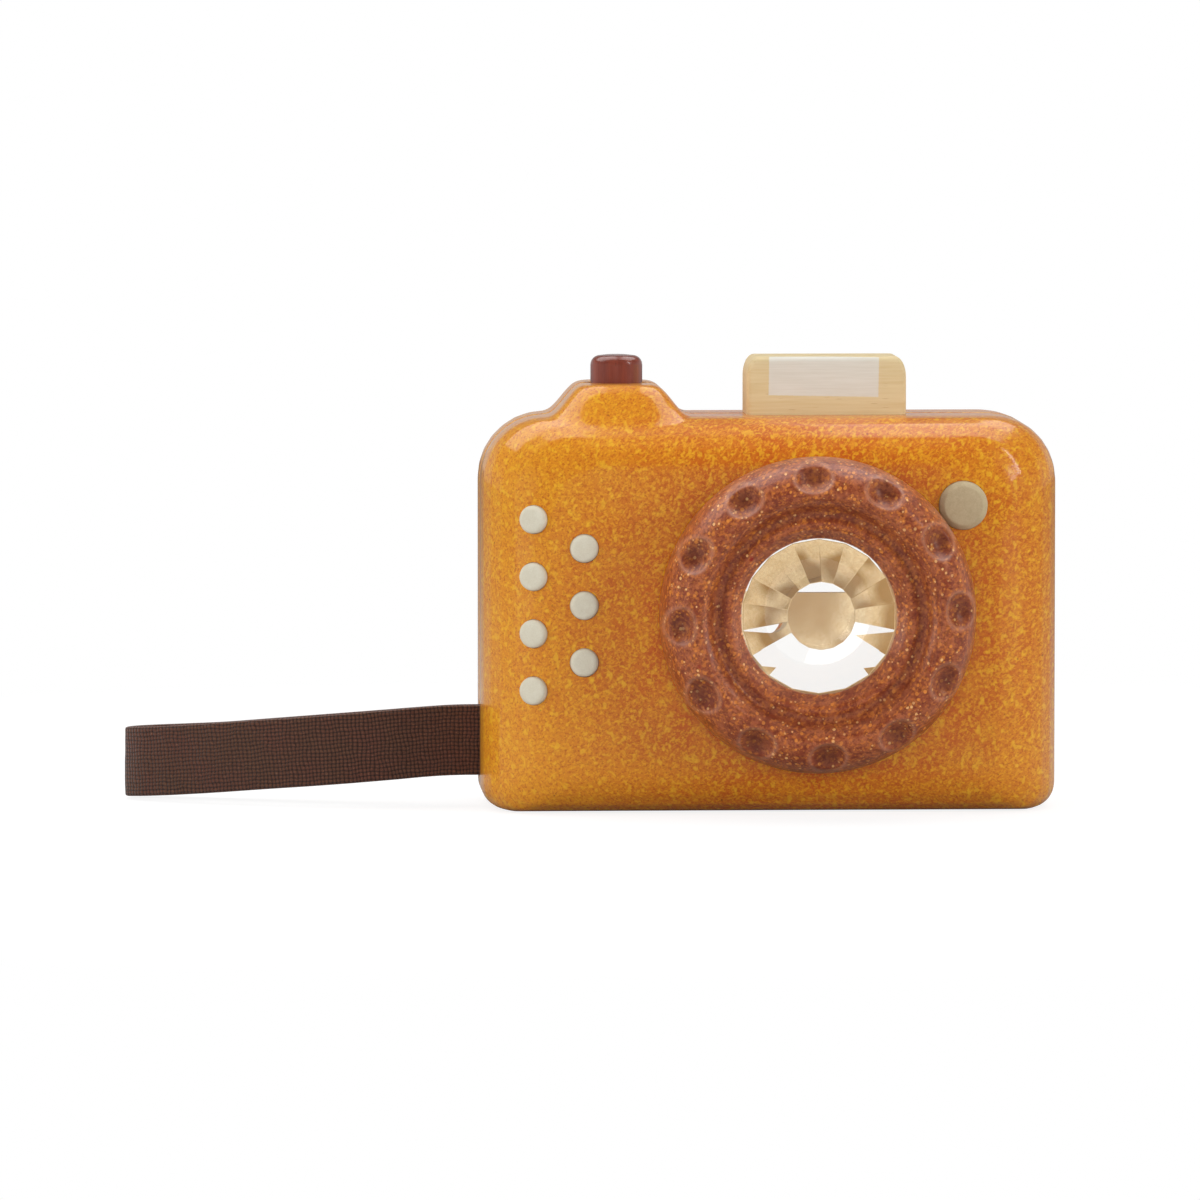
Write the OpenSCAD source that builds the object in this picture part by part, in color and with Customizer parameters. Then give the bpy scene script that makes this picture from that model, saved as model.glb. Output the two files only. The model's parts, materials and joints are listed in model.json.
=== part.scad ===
// Toy camera: two moulded body halves, a turning lens ring with a faceted lens,
// a sprung shutter button, a wooden flash block and a wrist strap.
// Lengths are in millimetres: +X to the viewer's right, -Y towards the viewer, +Z up.

/* [Body] */
// Width of the body
body_w = 97.4; // [94:0.2:106]
// Height of the body, without the flash and the button
body_h = 66.5; // [64:0.5:74]
// Depth of the front half, with the crown of its face
front_depth = 23; // [21:0.5:28]
// Depth of the rear half, with the crown of its face
rear_depth = 23; // [21:0.5:28]
// Thickness of the side, top and bottom walls
wall = 4.5; // [4:0.25:5]
// Thickness of the front and rear walls
face_wall = 5; // [4.5:0.25:6]
// How far the middle of the front and rear faces bulges
crown = 1.2; // [0.6:0.1:1.6]
// Corner radius at the top, seen from the front
top_corner_r = 11; // [9.5:0.5:12.5]
// Corner radius at the bottom, seen from the front
bottom_corner_r = 4.2; // [3.6:0.2:6]
// How far the round edge of a face reaches in from the sides
side_round = 14; // [12:0.5:15]
// How far the round edge of a face reaches down from the top
top_round = 10; // [8:0.5:11]
// How far the round edge of a face reaches up from the bottom
bottom_round = 8; // [6:0.5:9]
// Depth of the round edge at the sides
side_run = 15; // [12:0.5:16]
// Depth of the round edge at the top
top_run = 11; // [9:0.5:12]
// Depth of the round edge at the bottom
bottom_run = 8; // [6:0.5:10]

/* [Turret] */
// Height of the turret over the body
turret_h = 5.3; // [4.5:0.1:6]
// Half width of the turret's flat top
turret_top_w = 5.7; // [5:0.1:6.5]
// Half width of the turret's foot
turret_foot_w = 12.4; // [11:0.1:13]
// How far the turret's foot stands back from the front and rear faces
turret_setback = 5.5; // [5:0.25:7]

/* [Lens] */
// Lens axis, right of the body's middle
lens_x = 7; // [4:0.25:8]
// Height of the lens axis over the body's middle
lens_rise = 0.7; // [-1:0.05:2]
// Depth of the ring
ring_depth = 12.6; // [12:0.1:14]
// Radius of the opening in front of the lens
open_r = 12.95; // [11:0.05:14]
// Width of the flared wall from the opening to the lip
flare_w = 2.75; // [2:0.05:3.5]
// Width of the lip's outer side, down to the valley
lip_w = 1.3; // [1:0.1:2]
// Width of the ring's inner slope, from the valley to the crest
slope_w = 3.9; // [3:0.1:5]
// Width of the ring's outer shoulder, from the crest to the rim
shoulder_w = 5.7; // [4.5:0.1:6]
// Number of finger dimples
dimple_count = 12; // [8:1:14]
// Depth of a finger dimple
dimple_depth = 1.9; // [1:0.1:2.2]
// Number of facets on the lens
facet_count = 18; // [14:1:24]
// Radius of the lens's flat table
table_r = 5.7; // [5:0.1:7]
// Rise of the table over the rim of the lens
table_rise = 5.5; // [4:0.1:5.8]
// How far the table is cut over the lens axis
table_off = 0.5; // [0:0.1:0.8]
// Wall of the sleeve that carries the ring
sleeve_wall = 4; // [3.5:0.1:4.5]
// Inner radius of the viewing barrel
barrel_in_r = 22; // [21.5:0.1:23]
// Wall of the viewing barrel
barrel_wall = 2.5; // [2:0.25:3]
// Width of the eye window
window_w = 39; // [30:0.5:39]
// Height of the eye window
window_h = 12.4; // [10:0.2:13]

/* [Shutter button] */
// Button axis, from the body's left side
button_edge = 23.3; // [22:0.1:25]
// Radius of the button
button_r = 4.4; // [4:0.05:4.6]
// How far the button stands out of the turret
button_proud = 4.7; // [4:0.1:6]
// Travel of the button
button_travel = 3; // [2:0.1:3.5]
// Height of the return spring under the pressed button
spring_low_h = 7; // [6.5:0.5:9]
// Turns of the return spring
spring_turns = 6; // [5:1:7]

/* [Flash] */
// Middle of the flash block, right of the body's middle
flash_x = 9.9; // [6:0.1:12]
// Width of the flash block
flash_w = 27; // [24:0.2:30]
// Height of the flash block
flash_h = 9.8; // [8.5:0.1:12]
// Depth of the flash block
flash_depth = 13; // [11:0.5:16]
// Width of the round ends of the flash block's top
flash_end_w = 1.9; // [1.2:0.1:2.6]
// Height of the round ends of the flash block's top
flash_end_h = 3.5; // [2:0.1:4.5]
// Rounding of the flash block's front and rear edges
flash_edge_r = 0.9; // [0.5:0.1:1.2]

/* [Pegs] */
// Radius of a grip dot
dot_r = 2.4; // [2:0.1:2.8]
// Pitch of the grip dots in a row
dot_pitch = 9.6; // [8.5:0.05:10]
// Height of the middle of the grip dots over the body's middle
dot_rise = 2.1; // [0:0.1:3]
// Distance of the outer row of dots from the body's side
dot_row_edge = 8.3; // [7.5:0.1:9]
// Distance between the two rows of dots
dot_row_gap = 8.5; // [7.5:0.1:9]
// Radius of the sensor dot
sensor_r = 4.1; // [3.5:0.1:4.4]
// Sensor dot, from the body's right side
sensor_edge = 16.9; // [16:0.1:18]
// Sensor dot, down from the body's top
sensor_drop = 14.5; // [14:0.1:15.5]

/* [Strap] */
// Width of the webbing
strap_w = 11.8; // [10:0.1:12]
// Thickness of the webbing
strap_t = 1.6; // [1.2:0.1:1.7]
// Radius of the dowel that the strap loops round
anchor_r = 3; // [2.5:0.1:3]

/* [Hidden] */
$fn = 64;

// Clearances, and the overrun of cuts
overrun = 1;
run_gap = 0.08;
glue_gap = 0.05;
ring_gap = 0.4;
keeper_gap = 0.25;
barrel_gap = 0.35;
stop_gap = 0.1;

// Facet counts of the lofted forms
corner_steps = 7;
edge_steps = 7;
inner_steps = 4;
arc_steps = 8;

// Planes of the body: the seam stands so that the part's middle is at y = 0
seam_y = (front_depth + ring_gap + ring_depth - rear_depth)/2;
face_y = seam_y - front_depth;
front_inner_y = face_y + face_wall;
rear_inner_y = seam_y + rear_depth - face_wall;
ceiling_z = body_h - wall;
half_w = body_w/2;
seam_bevel = 0.4;
crown_shares = [1, 0.8, 0.55, 0.3];

// Posts and dowels that line up the halves
post_r = 5;
post_len = 12;
dowel_r = 2.5;
dowel_half = 8;
dowel_end_gap = 0.5;
post_edge = 8;
post_top_drop = 11.5;
post_low_z = 11;
post_mid_x = -20;
post_mid_z = 9;
posts = [[-half_w + post_edge, body_h - post_top_drop], [half_w - post_edge, body_h - post_top_drop],
    [half_w - post_edge, post_low_z], [post_mid_x, post_mid_z]];

// Ring profile: radii from the opening outwards, and heights forward from the ring's back
lens_z = body_h/2 + lens_rise;
lip_r = open_r + flare_w;
valley_r = lip_r + lip_w;
crest_r = valley_r + slope_w;
ring_r = crest_r + shoulder_w;
ring_back_y = face_y - ring_gap;
rim_a = 3;
back_in = 0.9;
valley_a = 8.9;
lip_a = 9.6;
lip_in_w = 0.9;
lip_sweep = 150;
seat_a = 6;
seat_lip = 0.6;
socket_a = 4;
dimple_ball_r = 4.1;
dimple_out_share = 0.45;
dimple_turn = 3;

// Lens and the sleeve behind it
lens_lap = 1.35;
lens_rim_r = open_r + lens_lap;
sleeve_lap = 0.35;
sleeve_in_r = open_r + sleeve_lap;
sleeve_r = sleeve_in_r + sleeve_wall;
facet_edge_r = open_r - glue_gap;
facet_turn = 10;

// Sleeve keeper and its screws
keeper_lap = 3.5;
keeper_r = sleeve_r + keeper_lap;
keeper_t = 3;
keeper_y = front_inner_y + keeper_gap;
screw_count = 3;
screw_r = 0.9;
screw_len = 6.5;
screw_head_r = 1.8;
screw_head_h = 1.2;
screw_end_gap = 0.5;
screw_pcr = (sleeve_r + sleeve_in_r)/2;

// Viewing barrel, from behind the keeper into the rear wall
barrel_y = keeper_y + keeper_t + barrel_gap;
barrel_seat = 1.5;
barrel_end = 2;
barrel_r = barrel_in_r + barrel_wall;
window_rise = 0.9;
window_r = 4;
window_margin = 0.4;

// Button, collar, screw, spring and shelf, from the top down
turret_z = body_h + turret_h;
turret_root = 0.8;
turret_sink = 0.15;
turret_corner_share = 0.62;
turret_steps = 9;
button_top_z = turret_z + button_proud;
button_round = 1.6;
button_x = button_edge - half_w;
collar_lap = 2.4;
collar_r = button_r + collar_lap;
collar_t = 3;
collar_top_z = ceiling_z - stop_gap;
collar_z = collar_top_z - collar_t;
collar_screw_r = 1;
collar_screw_len = 9;
collar_screw_head_r = 2.1;
collar_screw_head_h = 1.4;
spring_h = spring_low_h + button_travel;
spring_r = 4;
wire_r = 0.4;
wire_sides = 6;
turn_steps = 12;
spring_end_gap = 0.02;
shelf_z = collar_z - spring_h;
shelf_t = 4;
shelf_half_w = 5;
ledge = 4;

// Flash dowels
flash_dowel_r = 2.5;
flash_dowel_edge = 5.7;
flash_dowel_x = flash_w/2 - flash_dowel_edge;
flash_dowel_rise = 5.5;

// Pegs
dot_proud = 1;
dot_seat = 2.4;
dot_round = 0.8;
dot_count = 4;
sensor_proud = 1.3;
sensor_seat = 2.6;
sensor_bevel = 0.8;
peg_steps = 4;

// Strap slot and anchor: their heights follow the webbing's lower edge
strap_rise = 0.7;
strap_low_z = wall + strap_rise;
slot_margin = 0.35;
slot_side_gap = 0.5;
slot_half = strap_t + slot_side_gap;
anchor_edge = 13;
anchor_x = anchor_edge - half_w;
anchor_seat = 2.5;
rib_gap = 3;
rib_low_z = strap_low_z + strap_w + rib_gap;
rib_t = 4;
rib_seat = 3;
rib_half_w = 5;
rib_depth = 8;
anchor_top_z = rib_low_z + rib_seat;
wrap_gap = 0.25;
wrap_r = anchor_r + strap_t/2 + wrap_gap;
run_half = slot_half - slot_side_gap/2 - strap_t/2;

// Strap route outside, along the middle of the webbing: how far left of the body's side, how far
// behind the seam, and how far down from the height at which it leaves
loop_route = [[0, -1.1, 0], [4, -1.4, 0], [9, -1.9, 0.2], [15, -2.1, 0.7], [22, -1.6, 1.3], [29, -0.3, 1.9],
    [36, 1.7, 2.5], [43, 4.4, 3.2], [49, 7.3, 3.8], [54.6, 10.3, 4.3], [58, 13, 4.6], [59.2, 15.7, 4.8],
    [58, 18, 4.8], [55.3, 18.6, 4.7], [50, 17.3, 4.4], [43, 14.5, 3.9], [36, 11.9, 3.2], [29, 9.5, 2.5],
    [22, 7.1, 1.8], [15, 4.8, 1.1], [9, 3, 0.5], [4, 1.7, 0.1], [0, 1.1, 0]];
// Shares of the way from the slot to the anchor, and the turns of the webbing round the anchor
inner_shares = [0, 0.3, 0.65];
front_turns = [-115, -90, -70];
rear_turns = [-25, 0, 30, 60, 90, 115];
strap_section_shares = [[1, -0.9], [1, 0.9], [0.5, 1], [-0.5, 1],
    [-1, 0.9], [-1, -0.9], [-0.5, -1], [0.5, -1]];

echo(spring_gap = spring_h/spring_turns - 2*wire_r);

// Points of an arc about c
function arc(c, r, from, to, steps) =
    [for (i = [0:steps]) let (a = from + (to - from)*i/steps) c + r*[cos(a), sin(a)]];

// Points of an arc of an ellipse about c, with half axes h
function oval(c, h, from, to, steps) =
    [for (i = [0:steps]) let (a = from + (to - from)*i/steps) c + [h.x*cos(a), h.y*sin(a)]];

// Rounded rectangle between two corners, with its own radii at the bottom and the top
function rounded(low, high, low_r, high_r, steps) = concat(
    arc([high.x - low_r, low.y + low_r], low_r, -90, 0, steps),
    arc([high.x - high_r, high.y - high_r], high_r, 0, 90, steps),
    arc([low.x + high_r, high.y - high_r], high_r, 90, 180, steps),
    arc([low.x + low_r, low.y + low_r], low_r, 180, 270, steps));

// How far a round edge stands in from the side, at depth s behind the face
function edge_in(reach, run, s) = s >= run ? 0 : reach*(1 - sqrt(1 - pow((run - s)/run, 2)));

// How far the face falls back at distance d from the side
function face_fall(reach, run, d) = d >= reach ? 0 : run*(1 - sqrt(1 - pow((reach - d)/reach, 2)));

// How far the face leans over at distance d from the side
function face_lean(reach, run, d) = let (s = max(reach - d, 0)/reach) atan(run*s/reach/sqrt(1 - s*s));

// Level at share s of a smooth step from one level to another
function swell(from, to, s) = from + (to - from)*(1 - cos(180*s))/2;

// Solid through a stack of rings with equally many points
module loft(rings) {
    n = len(rings[0]);
    m = len(rings);
    walls = [for (i = [0:m - 2]) for (j = [0:n - 1])
        let (a = i*n + j, b = i*n + (j + 1)%n) each [[a, a + n, b], [b, a + n, b + n]]];
    caps = [[for (j = [0:n - 1]) j], [for (j = [0:n - 1]) m*n - 1 - j]];
    polyhedron([for (ring = rings) each ring], concat(walls, caps));
}

// One slice of the body's outline, set in by inset, at depth s behind the face
function slice(inset, grow, s, steps) = let (
        x = edge_in(side_round - grow, side_run - grow, s) + inset,
        top = edge_in(top_round - grow, top_run - grow, s) + inset,
        low = edge_in(bottom_round - grow, bottom_run - grow, s) + inset)
    rounded([-half_w + x, low], [half_w - x, body_h - top],
        max(bottom_corner_r - grow, grow/2), top_corner_r - grow, steps);

// Half of the body's outer form, from the seam at y = 0 towards -Y
module body_half(depth) {
    plane = depth - crown;
    runs = concat([plane - seam_bevel],
        [for (i = [0:edge_steps]) max(side_run, top_run, bottom_run)*(1 - sin(90*i/edge_steps))]);
    face = slice(0, 0, 0, corner_steps);
    middle = [0, body_h/2];
    last = crown_shares[len(crown_shares) - 1];
    loft(concat(
        [[for (p = slice(seam_bevel, 0, plane, corner_steps)) [p.x, 0, p.y]]],
        [for (s = runs) [for (p = slice(0, 0, s, corner_steps)) [p.x, s - plane, p.y]]],
        [for (k = [1:len(crown_shares) - 1]) let (share = crown_shares[k],
            rise = crown*(1 - share*share)/(1 - last*last))
            [for (p = face) let (q = middle + share*(p - middle)) [q.x, -plane - rise, q.y]]]));
}

// Half of the hollow inside, open past the seam
module cavity_half(depth) {
    plane = depth - face_wall;
    runs = [for (i = [0:inner_steps]) (side_run - wall)*(1 - sin(90*i/inner_steps))];
    loft(concat([[for (p = slice(wall, wall, plane, inner_steps)) [p.x, overrun, p.y]]],
        [for (s = runs) [for (p = slice(wall, wall, s, inner_steps)) [p.x, s - plane, p.y]]]));
}

// Plan of the turret at half width w, from the seam to its front
function turret_plan(w, front) = let (r = turret_corner_share*w) concat([[w, 0], [-w, 0]],
    arc([r - w, r - front], r, 180, 270, corner_steps), arc([w - r, r - front], r, 270, 360, corner_steps));

// Half of the turret round the button, from the seam towards -Y, draped over the body's top edge
module turret_half(depth) {
    foot_d = depth - turret_setback;
    root_z = body_h - turret_root - edge_in(top_round, top_run, turret_setback - crown);
    loft(concat(
        [[for (q = turret_plan(turret_foot_w, foot_d)) [button_x + q.x, q.y, root_z]]],
        [for (i = [0:turret_steps]) let (in = (turret_foot_w - turret_top_w)*i/turret_steps,
            rise = swell(-turret_sink, turret_h, i/turret_steps))
            [for (q = turret_plan(turret_foot_w - in, foot_d - in))
                [button_x + q.x, q.y, body_h + rise - edge_in(top_round, top_run, depth - crown + q.y)]]]));
}

// One hollow half with its posts, ledge and rib, from the seam towards -Y
module bare_half(depth) {
    difference() {
        union() {
            body_half(depth);
            turret_half(depth);
        }
        cavity_half(depth);
    }
    for (p = posts)
        translate([p.x, 0, p.y]) rotate([90, 0, 0]) cylinder(h = post_len, r = post_r);
    translate([button_x - shelf_half_w, face_wall - depth - overrun, shelf_z - shelf_t - ledge])
        cube([2*shelf_half_w, ledge + overrun, ledge]);
    translate([wall - half_w - overrun, -rib_depth, rib_low_z])
        cube([anchor_edge - wall + rib_half_w + overrun, rib_depth, rib_t]);
}

// What both halves have cut at the seam, with the seam at y = 0
module seam_cuts() {
    for (p = posts)
        translate([p.x, dowel_half + dowel_end_gap, p.y]) rotate([90, 0, 0])
            cylinder(h = 2*(dowel_half + dowel_end_gap), r = dowel_r + glue_gap);
    translate([button_x, 0, ceiling_z - overrun])
        cylinder(h = wall + turret_h + 2*overrun, r = button_r + run_gap);
    for (side = [-1, 1])
        translate([flash_x + side*flash_dowel_x, 0, ceiling_z - overrun])
            cylinder(h = wall + 2*overrun, r = flash_dowel_r + glue_gap);
    translate([-half_w - overrun, -slot_half, strap_low_z - slot_margin])
        cube([wall + 2*overrun, 2*slot_half, strap_w + 2*slot_margin]);
    translate([anchor_x, 0, wall - anchor_seat])
        cylinder(h = anchor_top_z - wall + anchor_seat, r = anchor_r + glue_gap);
}

// Places children on the lens axis at a depth, with their +Z pointing to the front
module on_lens(y) {
    translate([lens_x, y, lens_z]) rotate([90, 0, 0]) children();
}

// Places of the grip dots: x, z, how far the face has fallen back there and how far it leans over
dot_rows = [dot_row_edge, dot_row_edge + dot_row_gap];
dot_places = [for (row = [0, 1]) for (i = [0:dot_count - 1 - row])
    [dot_rows[row] - half_w, body_h/2 + dot_rise + dot_pitch*(i + (row + 1 - dot_count)/2),
        crown + face_fall(side_round, side_run, dot_rows[row]),
        face_lean(side_round, side_run, dot_rows[row])]];
sensor_place = [half_w - sensor_edge, body_h - sensor_drop, crown, 0];

// Places children on the front face at a peg, with their +Z pointing to the front
module on_face(place) {
    translate([place.x, face_y + place.z, place.y])
        rotate([0, 0, -place[3]]) rotate([90, 0, 0]) children();
}

module front_shell() {
    color("goldenrod") difference() {
        translate([0, seam_y, 0]) bare_half(front_depth);
        translate([0, seam_y, 0]) seam_cuts();
        on_lens(front_inner_y + overrun) cylinder(h = face_wall + 2*overrun, r = sleeve_r + run_gap);
        for (place = dot_places)
            on_face(place) translate([0, 0, -dot_seat])
                cylinder(h = dot_seat + side_run, r = dot_r + glue_gap);
        on_face(sensor_place) translate([0, 0, -sensor_seat])
            cylinder(h = sensor_seat + side_run, r = sensor_r + glue_gap);
    }
}

// Eye window with round corners, through h along the lens axis
module window(margin, h) {
    low = [-window_w/2 - margin, window_rise - margin];
    high = [window_w/2 + margin, window_rise + window_h + margin];
    linear_extrude(h) polygon(rounded(low, high, window_r + margin, window_r + margin, inner_steps));
}

module rear_shell() {
    color("goldenrod") difference() {
        translate([0, seam_y, 0]) mirror([0, 1, 0]) bare_half(rear_depth);
        translate([0, seam_y, 0]) seam_cuts();
        on_lens(rear_inner_y + barrel_seat)
            cylinder(h = barrel_seat + overrun, r = barrel_r + glue_gap);
        on_lens(rear_inner_y + face_wall + overrun) window(window_margin, face_wall + 2*overrun);
    }
}

module alignment_dowels() {
    color("burlywood") for (p = posts)
        translate([p.x, seam_y + dowel_half, p.y]) rotate([90, 0, 0])
            cylinder(h = 2*dowel_half, r = dowel_r);
}

// Half outline of the ring: donut, valley, lip, flared wall, lens seat and sleeve socket
ring_outline = concat(
    oval([crest_r, rim_a], [shoulder_w, ring_depth - rim_a], 0, 90, arc_steps),
    [for (i = [1:arc_steps]) [crest_r - slope_w*i/arc_steps, swell(ring_depth, valley_a, i/arc_steps)]],
    [for (i = [1:inner_steps]) [valley_r - lip_w*i/inner_steps, swell(valley_a, lip_a, i/inner_steps)]],
    [for (p = oval([lip_r, valley_a], [lip_in_w, lip_a - valley_a], 90, lip_sweep, inner_steps))
        if (p.x < lip_r) p],
    [[open_r, seat_a + seat_lip], [open_r, seat_a], [lens_rim_r + run_gap, seat_a],
        [lens_rim_r + run_gap, socket_a], [sleeve_r + glue_gap, socket_a], [sleeve_r + glue_gap, 0]],
    [for (p = oval([ring_r - back_in, rim_a], [back_in, rim_a], 270, 360, inner_steps)) if (p.y < rim_a) p]);

// Finger dimples: balls sunk into the outer shoulder of the donut along its normal
module dimples() {
    rise = ring_depth - rim_a;
    up_share = sqrt(1 - pow(dimple_out_share, 2));
    slope = [dimple_out_share/shoulder_w, up_share/rise];
    lift = (dimple_ball_r - dimple_depth)*slope/norm(slope);
    for (i = [0:dimple_count - 1])
        rotate([0, 0, dimple_turn + 360*i/dimple_count])
            translate([crest_r + shoulder_w*dimple_out_share + lift.x, 0, rim_a + rise*up_share + lift.y])
                sphere(r = dimple_ball_r);
}

module lens_ring() {
    color("sienna") on_lens(ring_back_y) difference() {
        rotate_extrude() polygon(ring_outline);
        dimples();
    }
}

// Regular polygon of the lens at height a, its middle over the axis by off
function facet_ring(r, a, off = 0) =
    [for (i = [0:facet_count - 1]) let (t = facet_turn + 360*i/facet_count) [r*cos(t), off + r*sin(t), a]];

module faceted_lens() {
    color("lightcyan", 0.4) on_lens(ring_back_y)
        loft([facet_ring(lens_rim_r, socket_a), facet_ring(lens_rim_r, seat_a),
            facet_ring(facet_edge_r, seat_a), facet_ring(table_r, seat_a + table_rise, table_off)]);
}

// Places children round the lens axis, one for each keeper screw
module at_screws() {
    for (i = [0:screw_count - 1])
        rotate([0, 0, 90 + 360*i/screw_count]) translate([screw_pcr, 0, 0]) children();
}

module lens_sleeve() {
    length = keeper_y - ring_back_y + socket_a;
    color("burlywood") on_lens(keeper_y) difference() {
        cylinder(h = length, r = sleeve_r);
        translate([0, 0, -overrun]) cylinder(h = length + 2*overrun, r = sleeve_in_r);
        at_screws() translate([0, 0, -overrun])
            cylinder(h = screw_len + screw_head_h - keeper_t + screw_end_gap + overrun,
                r = screw_r + glue_gap);
    }
}

module sleeve_keeper() {
    color("burlywood") on_lens(keeper_y + keeper_t) difference() {
        cylinder(h = keeper_t, r = keeper_r);
        translate([0, 0, -overrun]) cylinder(h = keeper_t + 2*overrun, r = sleeve_in_r);
        at_screws() {
            translate([0, 0, -overrun]) cylinder(h = keeper_t + 2*overrun, r = screw_r + glue_gap);
            translate([0, 0, -overrun]) cylinder(h = screw_head_h + overrun, r = screw_head_r + glue_gap);
        }
    }
}

module keeper_screws() {
    color("silver") on_lens(keeper_y + keeper_t) at_screws() {
        cylinder(h = screw_head_h, r = screw_head_r);
        cylinder(h = screw_head_h + screw_len, r = screw_r);
    }
}

module view_barrel() {
    length = rear_inner_y + barrel_seat - barrel_y;
    color("burlywood") on_lens(rear_inner_y + barrel_seat) difference() {
        cylinder(h = length, r = barrel_r);
        translate([0, 0, barrel_end]) cylinder(h = length, r = barrel_in_r);
        translate([0, 0, -overrun]) window(0, barrel_end + 2*overrun);
    }
}

module shutter_button() {
    color("saddlebrown") translate([button_x, seam_y, 0]) difference() {
        rotate_extrude() polygon(concat(
            [[0, collar_top_z], [button_r, collar_top_z]],
            arc([button_r - button_round, button_top_z - button_round], button_round, 0, 90, peg_steps),
            [[0, button_top_z]]));
        translate([0, 0, collar_top_z - overrun])
            cylinder(h = collar_screw_len - collar_t + screw_end_gap + overrun,
                r = collar_screw_r + glue_gap);
    }
}

module button_collar() {
    color("burlywood") translate([button_x, seam_y, collar_z]) difference() {
        cylinder(h = collar_t, r = collar_r);
        translate([0, 0, -overrun]) cylinder(h = collar_t + 2*overrun, r = collar_screw_r + glue_gap);
    }
}

module button_screw() {
    color("silver") translate([button_x, seam_y, collar_z - collar_screw_head_h]) {
        cylinder(h = collar_screw_head_h, r = collar_screw_head_r);
        cylinder(h = collar_screw_head_h + collar_screw_len, r = collar_screw_r);
    }
}

module return_spring() {
    low = shelf_z + wire_r + spring_end_gap;
    rise = spring_h - 2*(wire_r + spring_end_gap);
    steps = spring_turns*turn_steps;
    color("silver") translate([button_x, seam_y, low])
        loft([for (i = [0:steps]) let (t = 360*i/turn_steps)
            [for (j = [0:wire_sides - 1]) let (b = 360*j/wire_sides, r = spring_r - wire_r*cos(b))
                [r*cos(t), r*sin(t), rise*i/steps + wire_r*sin(b)]]]);
}

module spring_shelf() {
    color("burlywood") translate([button_x - shelf_half_w, front_inner_y, shelf_z - shelf_t])
        cube([2*shelf_half_w, rear_inner_y - front_inner_y, shelf_t]);
}

// Outline of the flash block from the front, set in by inset at its ends and its top
function flash_outline(inset) = let (x = flash_w/2 - flash_end_w, z = flash_h - flash_end_h,
        h = [flash_end_w - inset, flash_end_h - inset])
    concat([[flash_w/2 - inset, 0]], oval([x, z], h, 0, 90, arc_steps),
        oval([-x, z], h, 90, 180, arc_steps), [[inset - flash_w/2, 0]]);

// Sanded block that stands on the body's flat top
module flash_form() {
    ends = [for (i = [0:peg_steps]) let (a = 90*i/peg_steps)
        [flash_edge_r*(1 - sin(a)), flash_depth/2 - flash_edge_r*(1 - cos(a))]];
    rings = concat(ends, [for (i = [peg_steps:-1:0]) [ends[i].x, -ends[i].y]]);
    loft([for (e = rings) [for (p = flash_outline(e.x)) [p.x, e.y, p.y]]]);
}

module flash_block() {
    color("wheat") translate([flash_x, seam_y, body_h]) difference() {
        flash_form();
        for (side = [-1, 1])
            translate([side*flash_dowel_x, 0, -overrun])
                cylinder(h = flash_dowel_rise + overrun + dowel_end_gap, r = flash_dowel_r + glue_gap);
    }
}

module flash_dowels() {
    color("burlywood") for (side = [-1, 1])
        translate([flash_x + side*flash_dowel_x, seam_y, ceiling_z])
            cylinder(h = wall + flash_dowel_rise, r = flash_dowel_r);
}

module grip_dots() {
    length = dot_seat + dot_proud;
    color("ivory") for (place = dot_places)
        on_face(place) translate([0, 0, -dot_seat]) rotate_extrude()
            polygon(concat([[0, 0], [dot_r, 0]],
                arc([dot_r - dot_round, length - dot_round], dot_round, 0, 90, peg_steps), [[0, length]]));
}

module sensor_dot() {
    length = sensor_seat + sensor_proud;
    color("tan") on_face(sensor_place) translate([0, 0, -sensor_seat]) rotate_extrude()
        polygon([[0, 0], [sensor_r, 0], [sensor_r, length - sensor_bevel],
            [sensor_r - sensor_bevel, length], [0, length]]);
}

module strap_anchor() {
    color("burlywood") translate([anchor_x, seam_y, wall - anchor_seat])
        cylinder(h = anchor_top_z - wall + anchor_seat, r = anchor_r);
}

// Point of the webbing at a turn round the anchor, in plan
function wrap_point(turn) = [anchor_x, seam_y] + wrap_r*[cos(turn), sin(turn)];

// Way from the slot to the anchor on one side of the seam, in plan
function inner_run(side, turn) = let (from = [wall - half_w, seam_y + side*run_half], to = wrap_point(turn))
    [for (s = inner_shares) [from.x + s*(to.x - from.x), from.y + s*s*(3 - 2*s)*(to.y - from.y)]];

// Whole route of the strap: round the anchor, out of the slot, round the loop and back
strap_route = let (z = strap_low_z + strap_w/2, front = inner_run(-1, front_turns[0]),
        rear = inner_run(1, rear_turns[len(rear_turns) - 1])) concat(
    [for (i = [len(front_turns) - 1:-1:0]) [each wrap_point(front_turns[i]), z]],
    [for (i = [len(front) - 1:-1:0]) [each front[i], z]],
    [for (p = loop_route) [-half_w - p.x, seam_y + p.y, z - p.z]],
    [for (p = rear) [each p, z]],
    [for (i = [len(rear_turns) - 1:-1:0]) [each wrap_point(rear_turns[i]), z]]);

// Direction of the strap in plan at point i of its route
function strap_dir(i) = let (last = len(strap_route) - 1,
        d = strap_route[min(i + 1, last)] - strap_route[max(i - 1, 0)])
    [d.x, d.y]/norm([d.x, d.y]);

module wrist_strap() {
    color("#4b3228") loft([for (i = [0:len(strap_route) - 1]) let (p = strap_route[i], d = strap_dir(i))
        [for (s = strap_section_shares) let (u = s.x*strap_t/2, v = s.y*strap_w/2)
            [p.x - u*d.y, p.y + u*d.x, p.z + v]]]);
}

front_shell();
rear_shell();
alignment_dowels();
lens_ring();
faceted_lens();
lens_sleeve();
sleeve_keeper();
keeper_screws();
view_barrel();
shutter_button();
button_collar();
button_screw();
return_spring();
spring_shelf();
flash_block();
flash_dowels();
grip_dots();
sensor_dot();
strap_anchor();
wrist_strap();
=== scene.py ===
import json
import math
import bpy
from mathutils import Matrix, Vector
from mathutils.bvhtree import BVHTree


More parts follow.
